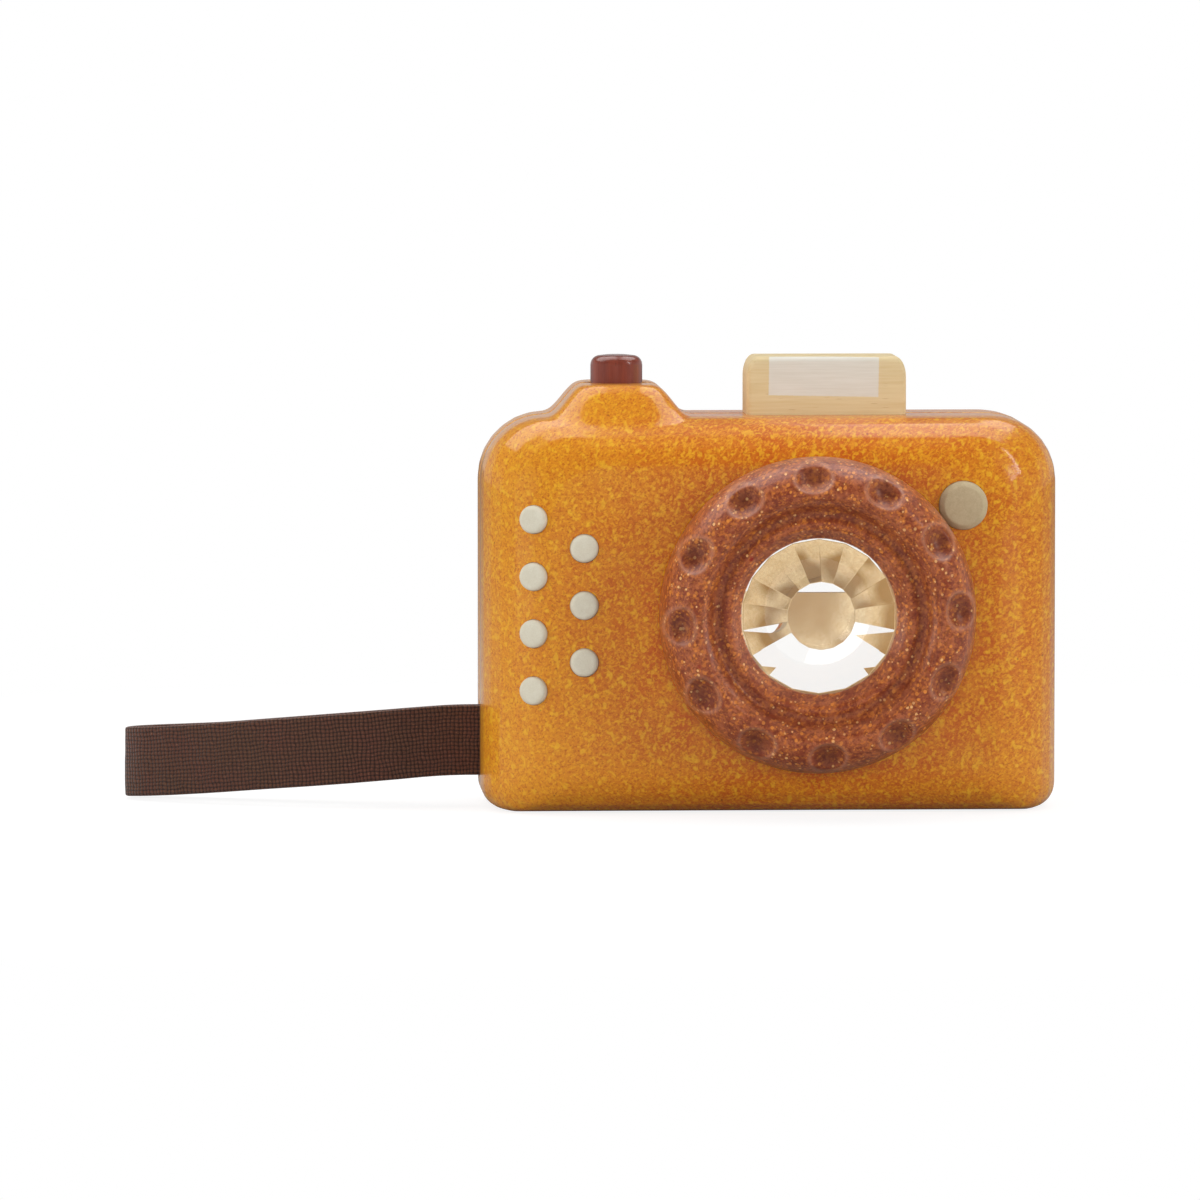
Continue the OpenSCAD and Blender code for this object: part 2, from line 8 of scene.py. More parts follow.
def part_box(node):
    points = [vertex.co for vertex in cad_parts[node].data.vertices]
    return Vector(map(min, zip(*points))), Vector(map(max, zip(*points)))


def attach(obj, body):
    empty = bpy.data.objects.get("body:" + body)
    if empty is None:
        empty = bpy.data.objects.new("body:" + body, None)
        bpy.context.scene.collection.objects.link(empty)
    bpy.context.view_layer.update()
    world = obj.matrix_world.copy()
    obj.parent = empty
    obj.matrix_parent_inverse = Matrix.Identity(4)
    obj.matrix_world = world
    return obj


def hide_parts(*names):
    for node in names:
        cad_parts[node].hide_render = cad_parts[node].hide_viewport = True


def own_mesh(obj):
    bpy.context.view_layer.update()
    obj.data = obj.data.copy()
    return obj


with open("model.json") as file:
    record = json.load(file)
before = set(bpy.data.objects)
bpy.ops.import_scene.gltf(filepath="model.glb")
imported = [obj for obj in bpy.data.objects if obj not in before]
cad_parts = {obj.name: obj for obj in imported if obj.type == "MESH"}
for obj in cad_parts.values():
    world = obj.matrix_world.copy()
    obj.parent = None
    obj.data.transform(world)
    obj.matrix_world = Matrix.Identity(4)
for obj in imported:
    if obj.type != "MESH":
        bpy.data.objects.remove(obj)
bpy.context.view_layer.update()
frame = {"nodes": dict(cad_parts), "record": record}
cadNodes = frame["nodes"]
mm = 0.001
tiny = 0.01 * mm                           # places nearer than this count as one
creaseAngle = math.radians(50)             # edges that turn more than this stay sharp
smoothStep = 0.5                           # how far one round of smoothing moves a vertex
lensTurn = frame["record"]["behaviour"]["joints"][0]["pos_m"]
lensAxis = (lensTurn[0] / mm, lensTurn[2] / mm)     # across and up, in mm
print("frame loaded with", len(cadNodes), "nodes")


# Small helpers for working with objects

def activate(piece):
    bpy.ops.object.select_all(action='DESELECT')
    bpy.context.view_layer.objects.active = piece
    piece.select_set(True)
    return piece


def applyModifier(piece, kind, **settings):
    activate(piece)
    modifier = piece.modifiers.new(kind.title(), kind)
    for name, value in settings.items():
        setattr(modifier, name, value)
    bpy.ops.object.modifier_apply(modifier=modifier.name)


def editAll(piece):                        # goes to edit mode with everything selected
    activate(piece)
    bpy.ops.object.mode_set(mode='EDIT')
    bpy.ops.mesh.select_all(action='SELECT')


def copyNode(node, name):                  # merged copy of a CAD node, ready for shaping
    piece = bpy.data.objects.new(name, cadNodes[node].data.copy())
    bpy.context.scene.collection.objects.link(piece)
    piece.data.materials.clear()
    editAll(piece)
    bpy.ops.mesh.remove_doubles(threshold=tiny)
    bpy.ops.object.mode_set(mode='OBJECT')
    bpy.ops.mesh.customdata_custom_splitnormals_clear()
    return piece


def startPrimitive(name):                  # takes over the primitive that was just added
    piece = bpy.context.active_object
    piece.name = name
    piece.data.name = name
    return piece


def editSelected(piece, kind, test):       # goes to edit mode with the wanted faces or edges selected
    activate(piece)
    bpy.ops.object.mode_set(mode='EDIT')
    bpy.ops.mesh.select_mode(type=kind)
    bpy.ops.mesh.select_all(action='DESELECT')
    bpy.ops.object.mode_set(mode='OBJECT')
    mesh = piece.data
    if kind == 'FACE':
        for face in mesh.polygons:
            face.select = test(face.center, face.normal)
    else:
        for edge in mesh.edges:
            a, b = (mesh.vertices[i].co for i in edge.vertices)
            edge.select = test(a, b)
    bpy.ops.object.mode_set(mode='EDIT')


def bevelEdges(piece, test, width, steps):
    editSelected(piece, 'EDGE', test)
    bpy.ops.mesh.bevel(offset=width * mm, segments=steps)
    bpy.ops.object.mode_set(mode='OBJECT')


def shadeByAngle(piece, angle=creaseAngle):
    activate(piece)
    bpy.ops.object.shade_smooth_by_angle(angle=angle)


def placeInMesh(piece):                    # the object goes to the origin, its place into the mesh
    activate(piece)
    bpy.ops.object.transform_apply(location=True, rotation=True, scale=True)


def dress(piece, body, slotName, material, *nodes):
    piece.data.materials.clear()
    piece.data.materials.append(material)
    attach(piece, body)
    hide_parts(*nodes)
    print("piece", piece.name, "faces", len(piece.data.polygons))


# Small helpers for working with material nodes

def colour(rgb):                           # 0 to 255 screen values as the linear values that a socket takes
    return [((c / 255 + 0.055) / 1.055) ** 2.4 if c > 10 else c / 255 / 12.92 for c in rgb] + [1.0]


def startMaterial(name, **sockets):
    material = bpy.data.materials.new(name)
    material.use_nodes = True
    shader = material.node_tree.nodes["Principled BSDF"]
    for socketName, value in sockets.items():
        shader.inputs[socketName.replace("_", " ")].default_value = value
    return material, material.node_tree, shader


def addNode(tree, kind, inputs, **settings):
    node = tree.nodes.new("ShaderNode" + kind)
    for name, value in settings.items():
        setattr(node, name, value)
    for name, value in inputs.items():
        if isinstance(value, bpy.types.NodeSocket):
            tree.links.new(value, node.inputs[name])
        else:
            node.inputs[name].default_value = value
    return node


def calc(tree, operation, a, b=0.0, c=0.0):
    return addNode(tree, "Math", {0: a, 1: b, 2: c}, operation=operation).outputs[0]


def hypotenuse(tree, a, b):
    return calc(tree, 'SQRT', calc(tree, 'MULTIPLY_ADD', a, a, calc(tree, 'MULTIPLY', b, b)))


def ramp(tree, value, low, high, start=0.0, end=1.0):
    inputs = {"Value": value, "From Min": low, "From Max": high, "To Min": start, "To Max": end}
    return addNode(tree, "MapRange", inputs).outputs[0]


def blendColours(tree, factor, a, b):
    return addNode(tree, "Mix", {0: factor, 6: a, 7: b}, data_type='RGBA').outputs[2]


def blendValues(tree, factor, a, b):
    return addNode(tree, "Mix", {0: factor, 2: a, 3: b}, data_type='FLOAT').outputs[0]


def objectMillimetres(tree, size=(1, 1, 1), turn=(0, 0, 0), place=(0, 0, 0)):
    coords = addNode(tree, "TexCoord", {}).outputs["Object"]
    inputs = {"Vector": coords, "Location": [v * mm for v in place],
              "Rotation": [math.radians(v) for v in turn], "Scale": [v * mm for v in size]}
    return addNode(tree, "Mapping", inputs, vector_type='TEXTURE').outputs[0]


def lensOffset(tree):                      # mm from the lens axis, square to it
    offset = addNode(tree, "VectorMath", {0: objectMillimetres(tree), 1: (lensAxis[0], 0, lensAxis[1])},
                     operation='SUBTRACT').outputs[0]
    return addNode(tree, "VectorMath", {0: offset, 1: (1, 0, 1)}, operation='MULTIPLY').outputs[0]


def vectorLength(tree, vector):
    return addNode(tree, "VectorMath", {0: vector}, operation='LENGTH').outputs["Value"]


def noise(tree, vector, scale, detail, roughness=0.5):
    inputs = {"Vector": vector, "Scale": scale, "Detail": detail, "Roughness": roughness}
    return addNode(tree, "TexNoise", inputs).outputs[0]


def bump(tree, height, distance, strength):
    return addNode(tree, "Bump", {"Height": height, "Distance": distance, "Strength": strength}).outputs[0]


# Camera at the photograph's angle

cameraView = {"azimuth": -2.9, "elevation": 4.0, "distance": 1.8, "lens": 318.08,
              "sensor": 36, "clipStart": 0.05, "target": (-28.168, 6.5, 34.764)}


def addCamera():
    target = Vector(cameraView["target"]) * mm
    azimuth = math.radians(cameraView["azimuth"])
    elevation = math.radians(cameraView["elevation"])
    away = Vector((math.sin(azimuth) * math.cos(elevation), -math.cos(azimuth) * math.cos(elevation),
                   math.sin(elevation)))
    bpy.ops.object.camera_add(location=target + cameraView["distance"] * away)
    camera = bpy.context.active_object
    camera.rotation_euler = away.to_track_quat('Z', 'Y').to_euler()
    camera.data.lens = cameraView["lens"]
    camera.data.sensor_width = cameraView["sensor"]
    camera.data.clip_start = cameraView["clipStart"]
    bpy.context.scene.camera = camera


addCamera()
print("camera set")


# Wrist strap: a band of webbing along its route, woven in its material

strap = {
    "width": 11.8, "thickness": 1.6, "edgeRound": 0.35, "edgeSteps": 2, "lengthSteps": 420,
    "widthSteps": 20, "routeSteps": 10,
    "anchor": (-35.7, 6.5), "wrapRadius": 4.05, "insideX": -44.2, "sideX": -48.7, "runHalf": 1.05,
    "exitZ": 11.1, "yarn": 0.66, "uneven": 0.3, "unevenSize": 7.0,
    "shares": (0, 0.3, 0.65), "frontTurns": (-115, -90, -70), "rearTurns": (115, 90, 60, 30, 0, -25),
    # left of the body's side, behind the seam, down from the exit
    "loop": [(0, -1.1, 0), (4, -1.4, 0), (9, -1.9, 0.2), (15, -2.1, 0.7), (22, -1.6, 1.3), (29, -0.3, 1.9),
             (36, 1.7, 2.5), (43, 4.4, 3.2), (49, 7.3, 3.8), (54.6, 10.3, 4.3), (58, 13, 4.6),
             (59.2, 15.7, 4.8), (58, 18, 4.8), (55.3, 18.6, 4.7), (50, 17.3, 4.4), (43, 14.5, 3.9),
             (36, 11.9, 3.2), (29, 9.5, 2.5), (22, 7.1, 1.8), (15, 4.8, 1.1), (9, 3, 0.5), (4, 1.7, 0.1),
             (0, 1.1, 0)],
}
weave = {"wobbleScale": 0.35, "alongWobble": 1.6, "acrossWobble": 1.1, "fibreScale": 5.5, "cloudScale": 0.16,
         "dyed": (122, 82, 60), "dyedRed": (130, 78, 62), "wornAndPaintedHighlight": (84, 56, 44), "paintedGapShade": (44, 28, 23),
         "tips": (160, 120, 98), "tipShare": 0.55, "roundness": 0.6, "fuzz": 0.6, "relief": 0.18}


def strapRoute():
    cx, cy = strap["anchor"]

    def wrapPoint(turn):
        angle = math.radians(turn)
        return cx + strap["wrapRadius"] * math.cos(angle), cy + strap["wrapRadius"] * math.sin(angle)

    def innerRun(side, turn):
        x0, y0 = strap["insideX"], cy + side * strap["runHalf"]
        x1, y1 = wrapPoint(turn)
        return [(x0 + s * (x1 - x0), y0 + s * s * (3 - 2 * s) * (y1 - y0)) for s in strap["shares"]]

    z = strap["exitZ"]
    front, rear = strap["frontTurns"], strap["rearTurns"]
    inFront = [wrapPoint(t) for t in reversed(front)] + innerRun(-1, front[0])[::-1]
    behind = innerRun(1, rear[0]) + [wrapPoint(t) for t in rear]
    points = [(x, y, z) for x, y in inFront]
    points += [(strap["sideX"] - a, cy + b, z - c) for a, b, c in strap["loop"]]
    points += [(x, y, z) for x, y in behind]
    return [Vector(p) * mm for p in points]


def webbingMaterial(lengthMm):
    material, tree, shader = startMaterial("brownWebbing", Roughness=0.85, Sheen_Weight=0.25,
                                           Sheen_Roughness=0.5, Specular_IOR_Level=0.25)
    uv = addNode(tree, "TexCoord", {}).outputs["UV"]
    split = addNode(tree, "SeparateXYZ", {"Vector": uv})
    along = calc(tree, 'MULTIPLY', split.outputs[0], lengthMm / strap["yarn"])
    across = calc(tree, 'MULTIPLY', split.outputs[1], strap["width"] / strap["yarn"])
    wobble = noise(tree, objectMillimetres(tree), weave["wobbleScale"], 3.0)
    along = calc(tree, 'ADD', along, calc(tree, 'MULTIPLY', wobble, weave["alongWobble"]))
    across = calc(tree, 'ADD', across, calc(tree, 'MULTIPLY', wobble, weave["acrossWobble"]))
    # plain weave: the yarn that lies on top changes with every crossing
    warp = calc(tree, 'SINE', calc(tree, 'MULTIPLY', along, math.pi))
    weft = calc(tree, 'SINE', calc(tree, 'MULTIPLY', across, math.pi))
    crossing = calc(tree, 'MULTIPLY', warp, weft)
    height = calc(tree, 'POWER', calc(tree, 'ABSOLUTE', crossing), weave["roundness"])
    fibre = noise(tree, objectMillimetres(tree), weave["fibreScale"], 3.0, 0.7)
    cloud = noise(tree, objectMillimetres(tree), weave["cloudScale"], 3.0)
    redder = ramp(tree, cloud, 0.35, 0.68)
    dyed = blendColours(tree, redder, colour(weave["dyed"]), colour(weave["dyedRed"]))
    yarn = blendColours(tree, ramp(tree, fibre, 0.3, 0.75), colour(weave["wornAndPaintedHighlight"]), dyed)
    # painted shade: darker where the yarns dip into the gaps between them
    shade = blendColours(tree, ramp(tree, height, 0.1, 0.9), colour(weave["paintedGapShade"]), yarn)
    fuzzy = calc(tree, 'MULTIPLY', ramp(tree, fibre, 0.56, 0.72), ramp(tree, crossing, 0.3, 0.95))
    tips = calc(tree, 'MULTIPLY', fuzzy, weave["tipShare"])
    shade = blendColours(tree, tips, shade, colour(weave["tips"]))
    tree.links.new(shade, shader.inputs["Base Color"])
    relief = calc(tree, 'ADD', height, calc(tree, 'MULTIPLY', fibre, weave["fuzz"]))
    tree.links.new(bump(tree, relief, weave["relief"] * mm, 0.9), shader.inputs["Normal"])
    return material


def makeStrap():
    points = strapRoute()
    path = bpy.data.curves.new("strapRoute", 'CURVE')
    path.dimensions = '3D'
    path.twist_mode = 'Z_UP'
    path.resolution_u = strap["routeSteps"]
    spline = path.splines.new('BEZIER')
    spline.bezier_points.add(len(points) - 1)
    for knot, point in zip(spline.bezier_points, points):
        knot.co = point
        knot.handle_left_type = knot.handle_right_type = 'AUTO'
    guide = bpy.data.objects.new("strapGuide", path)
    bpy.context.scene.collection.objects.link(guide)
    bpy.context.view_layer.update()
    length = spline.calc_length()
    print("strap length mm", round(length / mm, 1))

    bpy.ops.object.select_all(action='DESELECT')
    bpy.ops.mesh.primitive_grid_add(x_subdivisions=strap["lengthSteps"], y_subdivisions=strap["widthSteps"],
                                    size=1, rotation=(math.pi / 2, 0, 0))
    piece = startPrimitive("wrist_strap_webbing")
    piece.scale = (length, strap["width"] * mm, 1)
    piece.location.x = length / 2
    placeInMesh(piece)
    applyModifier(piece, 'SOLIDIFY', thickness=strap["thickness"] * mm, offset=0.0)
    applyModifier(piece, 'BEVEL', width=strap["edgeRound"] * mm, segments=strap["edgeSteps"],
                  limit_method='ANGLE', angle_limit=creaseAngle)
    texture = bpy.data.textures.new("strapUneven", 'CLOUDS')
    texture.noise_scale = strap["unevenSize"] * mm
    applyModifier(piece, 'DISPLACE', texture=texture, texture_coords='LOCAL', direction='Y',
                  strength=strap["uneven"] * mm, mid_level=0.5)
    applyModifier(piece, 'CURVE', object=guide, deform_axis='POS_X')
    bpy.data.objects.remove(guide)
    shadeByAngle(piece)
    dress(piece, "body", "webbing", webbingMaterial(length / mm), "wrist_strap")


makeStrap()


# Moulded composite of sawdust and resin: clouded base, soft flecks and sharp chips, lacquer over it

bodyFinish = {
    "deep": (206, 98, 24), "warm": (220, 128, 30), "cloudSize": 5.0, "grainSize": 0.6,
    # painted light, paler away from the lens for the ring's shade near it and the side lamps on the flanks:
    # mm from the lens axis, the tint there and its share
    "paleFrom": 28.0, "paleTo": 56.0, "pale": (232, 156, 34), "paleShare": 0.75,
    # size in mm, stretch, where the noise starts to show, strength, colour
    "flecks": [(0.5, 2.2, 0.54, 0.55, (240, 172, 36)), (0.42, 2.0, 0.57, 0.5, (190, 84, 22)),
               (0.95, 2.0, 0.61, 0.55, (246, 190, 44))],
    # cell in mm, share of the cells that hold a chip, smallest and largest reach, colour
    "chips": [(1.7, 0.2, 0.06, 0.13, (104, 46, 18))],
    "gloss": {"Roughness": 0.45, "Specular_IOR_Level": 0.2, "Coat_Weight": 0.8, "Coat_Roughness": 0.12},
    "peel": 0.03,
}
ringFinish = {
    "deep": (144, 63, 33), "warm": (186, 103, 60), "cloudSize": 2.6, "grainSize": 0.55,
    "flecks": [(0.6, 1.8, 0.57, 0.6, (214, 124, 48)), (0.6, 1.6, 0.57, 0.6, (116, 48, 26))],
    "chips": [(0.8, 0.42, 0.2, 0.46, (228, 140, 54)), (0.7, 0.22, 0.16, 0.42, (250, 192, 120)),
              (3.6, 0.1, 0.1, 0.17, (150, 18, 18))],
    "gloss": {"Roughness": 0.5, "Specular_IOR_Level": 0.2, "Coat_Weight": 0.7, "Coat_Roughness": 0.32},
    "peel": 0.04,
}
grit = {"grainShare": 0.4, "fleckEdge": 0.1, "chipStretch": 1.5, "chipEdge": (-0.02, 0.08), "faintest": 0.4,
        "relief": 0.6, "coatRelief": 0.25,
        # degrees about x, y and z: the first, then what each fleck and its second half, or each chip, adds
        "fleckTurns": [(37, 61, 90), (53, 47, 0), (0, 71, 80)], "chipTurns": [(20, 50), (35, 40), (0, 65)]}


def addFleck(tree, base, turn, size, stretch, start, strength, tint):
    grain = noise(tree, objectMillimetres(tree, (size, size * stretch, size), turn), 1.0, 1.0)
    mask = ramp(tree, grain, start, start + grit["fleckEdge"], 0.0, strength)
    return blendColours(tree, mask, base, colour(tint))


def addChips(tree, base, turn, cell, share, small, large, tint):
    vector = objectMillimetres(tree, (cell, cell * grit["chipStretch"], cell), turn)
    cells = addNode(tree, "TexVoronoi", {"Vector": vector, "Scale": 1.0})
    lot = addNode(tree, "SeparateColor", {"Color": cells.outputs["Color"]})
    held = calc(tree, 'LESS_THAN', lot.outputs[0], share)
    reach = ramp(tree, lot.outputs[1], 0.0, 1.0, small, large)
    edge = ramp(tree, calc(tree, 'SUBTRACT', reach, cells.outputs["Distance"]), *grit["chipEdge"])
    depth = ramp(tree, lot.outputs[2], 0.0, 1.0, grit["faintest"], 1.0)
    mask = calc(tree, 'MULTIPLY', calc(tree, 'MULTIPLY', held, edge), depth)
    return blendColours(tree, mask, base, colour(tint))


def compositeMaterial(name, finish):
    material, tree, shader = startMaterial(name, **finish["gloss"])
    place = objectMillimetres(tree)
    cloud = noise(tree, place, 1 / finish["cloudSize"], 2.0, 0.6)
    grain = noise(tree, place, 1 / finish["grainSize"], 2.0, 0.6)
    mottle = blendValues(tree, grit["grainShare"], cloud, grain)
    base = blendColours(tree, ramp(tree, mottle, 0.4, 0.62), colour(finish["deep"]), colour(finish["warm"]))
    if "pale" in finish:                   # painted light: paler away from the lens, deeper orange in the ring's shade near it
        away = vectorLength(tree, lensOffset(tree))
        paintedSideLight = ramp(tree, away, finish["paleFrom"], finish["paleTo"], 0.0, finish["paleShare"])
        base = blendColours(tree, paintedSideLight, base, colour(finish["pale"]))
    for i, fleck in enumerate(finish["flecks"]):
        for half in (0, 1):                # two directions of each fleck
            turn = [first + each * i + second * half for first, each, second in grit["fleckTurns"]]
            base = addFleck(tree, base, turn, *fleck)
    for i, chip in enumerate(finish["chips"]):
        base = addChips(tree, base, [first + each * i for first, each in grit["chipTurns"]], *chip)
    tree.links.new(base, shader.inputs["Base Color"])
    tree.links.new(bump(tree, grain, finish["peel"] * mm, grit["relief"]), shader.inputs["Normal"])
    tree.links.new(bump(tree, grain, finish["peel"] * mm, grit["coatRelief"]), shader.inputs["Coat Normal"])
    return material


# Body halves and lens ring: the CAD forms with softened edges

halves = {"voxel": 0.54, "smoothing": 3, "pegGap": 0.05, "seatReach": 0.09}
dimples = {"count": 12, "turn": 3, "ballRadius": 4.1, "ballSteps": 5,
           "ballMiddle": (24.9, -30.15),            # mm from the lens axis, and in depth
           "middle": 23.6, "slope": 1.25, "core": 1.0, "rimIn": 2.6, "rim": 3.1, "rimOut": 3.8,
           "valley": (15.9, 16.9, 17.6, 19.4),      # mm from the lens axis: start, full, full, end
           # stain: painted shade in the dimple hollows and the valley; worn: painted highlight on the dimple
           # rims
           "stainAndPaintedShade": (84, 34, 20), "wornAndPaintedHighlight": (214, 160, 132),
           "hollowPaintedShade": 0.55, "valleyPaintedShade": 0.3, "rimPaintedHighlight": 0.3}
lensRing = {"voxel": 0.3, "smoothing": 2, "lipReach": 25.0, "lipBlend": 3.0, "lipSmoothing": 8}


def softened(piece, settings):
    applyModifier(piece, 'REMESH', mode='VOXEL', voxel_size=settings["voxel"] * mm, use_smooth_shade=True)
    applyModifier(piece, 'SMOOTH', factor=smoothStep, iterations=settings["smoothing"])
    return piece


def closePegHoles(piece, pegNode):
    mesh = cadNodes[pegNode].data
    pegTree = BVHTree.FromPolygons([v.co for v in mesh.vertices], [p.vertices for p in mesh.polygons])
    reach = halves["seatReach"] * mm
    editSelected(piece, 'FACE', lambda centre, normal: pegTree.find_nearest(centre)[3] < reach)
    bpy.ops.mesh.delete(type='FACE')
    bpy.ops.mesh.select_mode(type='EDGE')
    bpy.ops.mesh.select_non_manifold(extend=False)
    bpy.ops.mesh.fill_holes(sides=0)
    bpy.ops.object.mode_set(mode='OBJECT')


def cutPegHoles(piece, pegNode):           # crisp seats, cut by the pegs' own shape
    cutter = copyNode(pegNode, pegNode + "Cutter")
    applyModifier(cutter, 'DISPLACE', strength=halves["pegGap"] * mm, mid_level=0.0)
    applyModifier(piece, 'BOOLEAN', object=cutter, operation='DIFFERENCE', solver='EXACT')
    bpy.data.objects.remove(cutter)


def cutDimples(piece):
    balls = []
    away, depth = dimples["ballMiddle"]
    for index in range(dimples["count"]):
        angle = math.radians(dimples["turn"] + 360 * index / dimples["count"])
        place = (lensAxis[0] + away * math.cos(angle), depth, lensAxis[1] + away * math.sin(angle))
        bpy.ops.mesh.primitive_ico_sphere_add(subdivisions=dimples["ballSteps"],
                                              radius=dimples["ballRadius"] * mm,
                                              location=[v * mm for v in place])
        balls.append(bpy.context.active_object)
    bpy.ops.object.select_all(action='DESELECT')
    for ball in balls:
        ball.select_set(True)
    bpy.context.view_layer.objects.active = balls[0]
    bpy.ops.object.join()
    applyModifier(piece, 'BOOLEAN', object=balls[0], operation='DIFFERENCE', solver='EXACT')
    bpy.data.objects.remove(balls[0])


def paintDimpleShadeAndHighlight(tree, base):             # painted shade in the dimples and the valley, painted highlight on the dimple rims
    offset = lensOffset(tree)
    away = vectorLength(tree, offset)
    split = addNode(tree, "SeparateXYZ", {"Vector": offset})
    angle = calc(tree, 'ARCTAN2', split.outputs[2], split.outputs[0])
    step = 2 * math.pi / dimples["count"]
    turned = calc(tree, 'SUBTRACT', angle, math.radians(dimples["turn"]) - step / 2)
    folded = calc(tree, 'SUBTRACT', calc(tree, 'FLOORED_MODULO', turned, step), step / 2)
    across = calc(tree, 'MULTIPLY', away, folded)
    out = calc(tree, 'MULTIPLY', calc(tree, 'SUBTRACT', away, dimples["middle"]), dimples["slope"])
    reach = hypotenuse(tree, across, out)
    # painted highlight: paler on the dimple rims
    rim = calc(tree, 'MULTIPLY', ramp(tree, reach, dimples["rimIn"], dimples["rim"]),
               ramp(tree, reach, dimples["rimOut"], dimples["rim"], 0.0, dimples["rimPaintedHighlight"]))
    base = blendColours(tree, rim, base, colour(dimples["wornAndPaintedHighlight"]))
    # painted shade: darker in the valley round the lip
    start, deep, rising, end = dimples["valley"]
    valley = calc(tree, 'MULTIPLY', ramp(tree, away, start, deep, 0.0, dimples["valleyPaintedShade"]),
                  ramp(tree, away, end, rising))
    base = blendColours(tree, valley, base, colour(dimples["stainAndPaintedShade"]))
    # painted shade: darker in the dimple hollows
    hollow = ramp(tree, reach, dimples["rim"], dimples["core"], 0.0, dimples["hollowPaintedShade"])
    return blendColours(tree, hollow, base, colour(dimples["stainAndPaintedShade"]))


def makeRing():                            # lip and crest rolled soft, dimples then cut again
    piece = softened(copyNode("lens_ring", "dimpled_ring"), lensRing)
    lip = piece.vertex_groups.new(name="lip")
    for vertex in piece.data.vertices:
        away = math.hypot(vertex.co.x / mm - lensAxis[0], vertex.co.z / mm - lensAxis[1])
        weight = (lensRing["lipReach"] - away) / lensRing["lipBlend"]
        lip.add([vertex.index], min(max(weight, 0.0), 1.0), 'REPLACE')
    applyModifier(piece, 'SMOOTH', factor=smoothStep, iterations=lensRing["lipSmoothing"], vertex_group="lip")
    piece.vertex_groups.clear()
    cutDimples(piece)
    softened(piece, lensRing)
    material = compositeMaterial("russetComposite", ringFinish)
    tree = material.node_tree
    target = tree.nodes["Principled BSDF"].inputs["Base Color"]
    tree.links.new(paintDimpleShadeAndHighlight(tree, target.links[0].from_socket), target)
    dress(piece, "lens", "ring_composite", material, "lens_ring")


def makeHalf(node, name, pegNodes):
    piece = copyNode(node, name)
    for pegNode in pegNodes:
        closePegHoles(piece, pegNode)
    softened(piece, halves)
    for pegNode in pegNodes:
        cutPegHoles(piece, pegNode)
    shadeByAngle(piece)
    dress(piece, "body", "body_composite", bodyComposite, node)


bodyComposite = compositeMaterial("mustardComposite", bodyFinish)
makeHalf("front_shell", "front_half", ["grip_dots", "sensor_dot"])
makeHalf("rear_shell", "rear_half", [])
makeRing()


# Faceted lens: clear moulded plastic with a hair of rounding on its facet edges

lens = {"edge": 0.05, "flatWithin": 1, "edgeAngle": 8, "ior": 1.59, "tint": (254, 253, 251)}


def makeLens():
    piece = copyNode("faceted_lens", "facet_lens")
    editAll(piece)
    bpy.ops.mesh.dissolve_limited(angle_limit=math.radians(lens["flatWithin"]))
    bpy.ops.object.mode_set(mode='OBJECT')
    applyModifier(piece, 'BEVEL', width=lens["edge"] * mm, segments=1, limit_method='ANGLE',
                  angle_limit=math.radians(lens["edgeAngle"]))
    bpy.ops.object.shade_flat()
    material = startMaterial("clearPlastic", Base_Color=colour(lens["tint"]), IOR=lens["ior"],
                             Transmission_Weight=1.0, Roughness=0.0)[0]
    piece.visible_shadow = False           # lamp light passes the clear lens into the barrel
    dress(piece, "lens", "clear_lens", material, "faceted_lens")


makeLens()


# Wood: fine streaks along the grain, short darker pores

woodGrain = {"along": 9, "across": 0.45, "cloudSize": 3, "cloudShare": 0.4, "tones": (0.36, 0.64),
             "poreAlong": 0.22, "poreAcross": 0.45, "poreEdge": (0.42, 0.2), "poreTint": 0.6,
             "streakRelief": 0.5, "relief": 0.03}


def woodMaterial(name, light, dark, pore, grain, poreShare, **gloss):
    material, tree, shader = startMaterial(name, **gloss)
    stretch = [woodGrain["along"] if axis == grain else woodGrain["across"] for axis in "XYZ"]
    streak = noise(tree, objectMillimetres(tree, stretch), 1.0, 3.0, 0.6)
    cloud = noise(tree, objectMillimetres(tree, [woodGrain["cloudSize"] * s for s in stretch]), 1.0, 2.0)
    tone = blendValues(tree, woodGrain["cloudShare"], streak, cloud)
    base = blendColours(tree, ramp(tree, tone, *woodGrain["tones"]), colour(light), colour(dark))
    poreSize = [s * (woodGrain["poreAlong"] if axis == grain else woodGrain["poreAcross"])
                for s, axis in zip(stretch, "XYZ")]
    cells = addNode(tree, "TexVoronoi", {"Vector": objectMillimetres(tree, poreSize), "Scale": 1.0})
    lot = addNode(tree, "SeparateColor", {"Color": cells.outputs["Color"]})
    hole = calc(tree, 'MULTIPLY', calc(tree, 'LESS_THAN', lot.outputs[0], poreShare),
                ramp(tree, cells.outputs["Distance"], *woodGrain["poreEdge"]))
    base = blendColours(tree, calc(tree, 'MULTIPLY', hole, woodGrain["poreTint"]), base, colour(pore))
    relief = calc(tree, 'SUBTRACT', calc(tree, 'MULTIPLY', streak, woodGrain["streakRelief"]), hole)
    tree.links.new(bump(tree, relief, woodGrain["relief"] * mm, 0.5), shader.inputs["Normal"])
    tree.links.new(base, shader.inputs["Base Color"])
    return material, tree, shader, base, streak


# Shutter button: turned on a lathe, rounded top edge, slightly domed

button = {"sides": 64, "edgeRound": 1.6, "edgeSteps": 6, "dome": 0.12, "domeInset": 1.0,
          "flatNormal": 0.999, "wood": [(138, 66, 48), (118, 52, 38), (84, 34, 26)]}


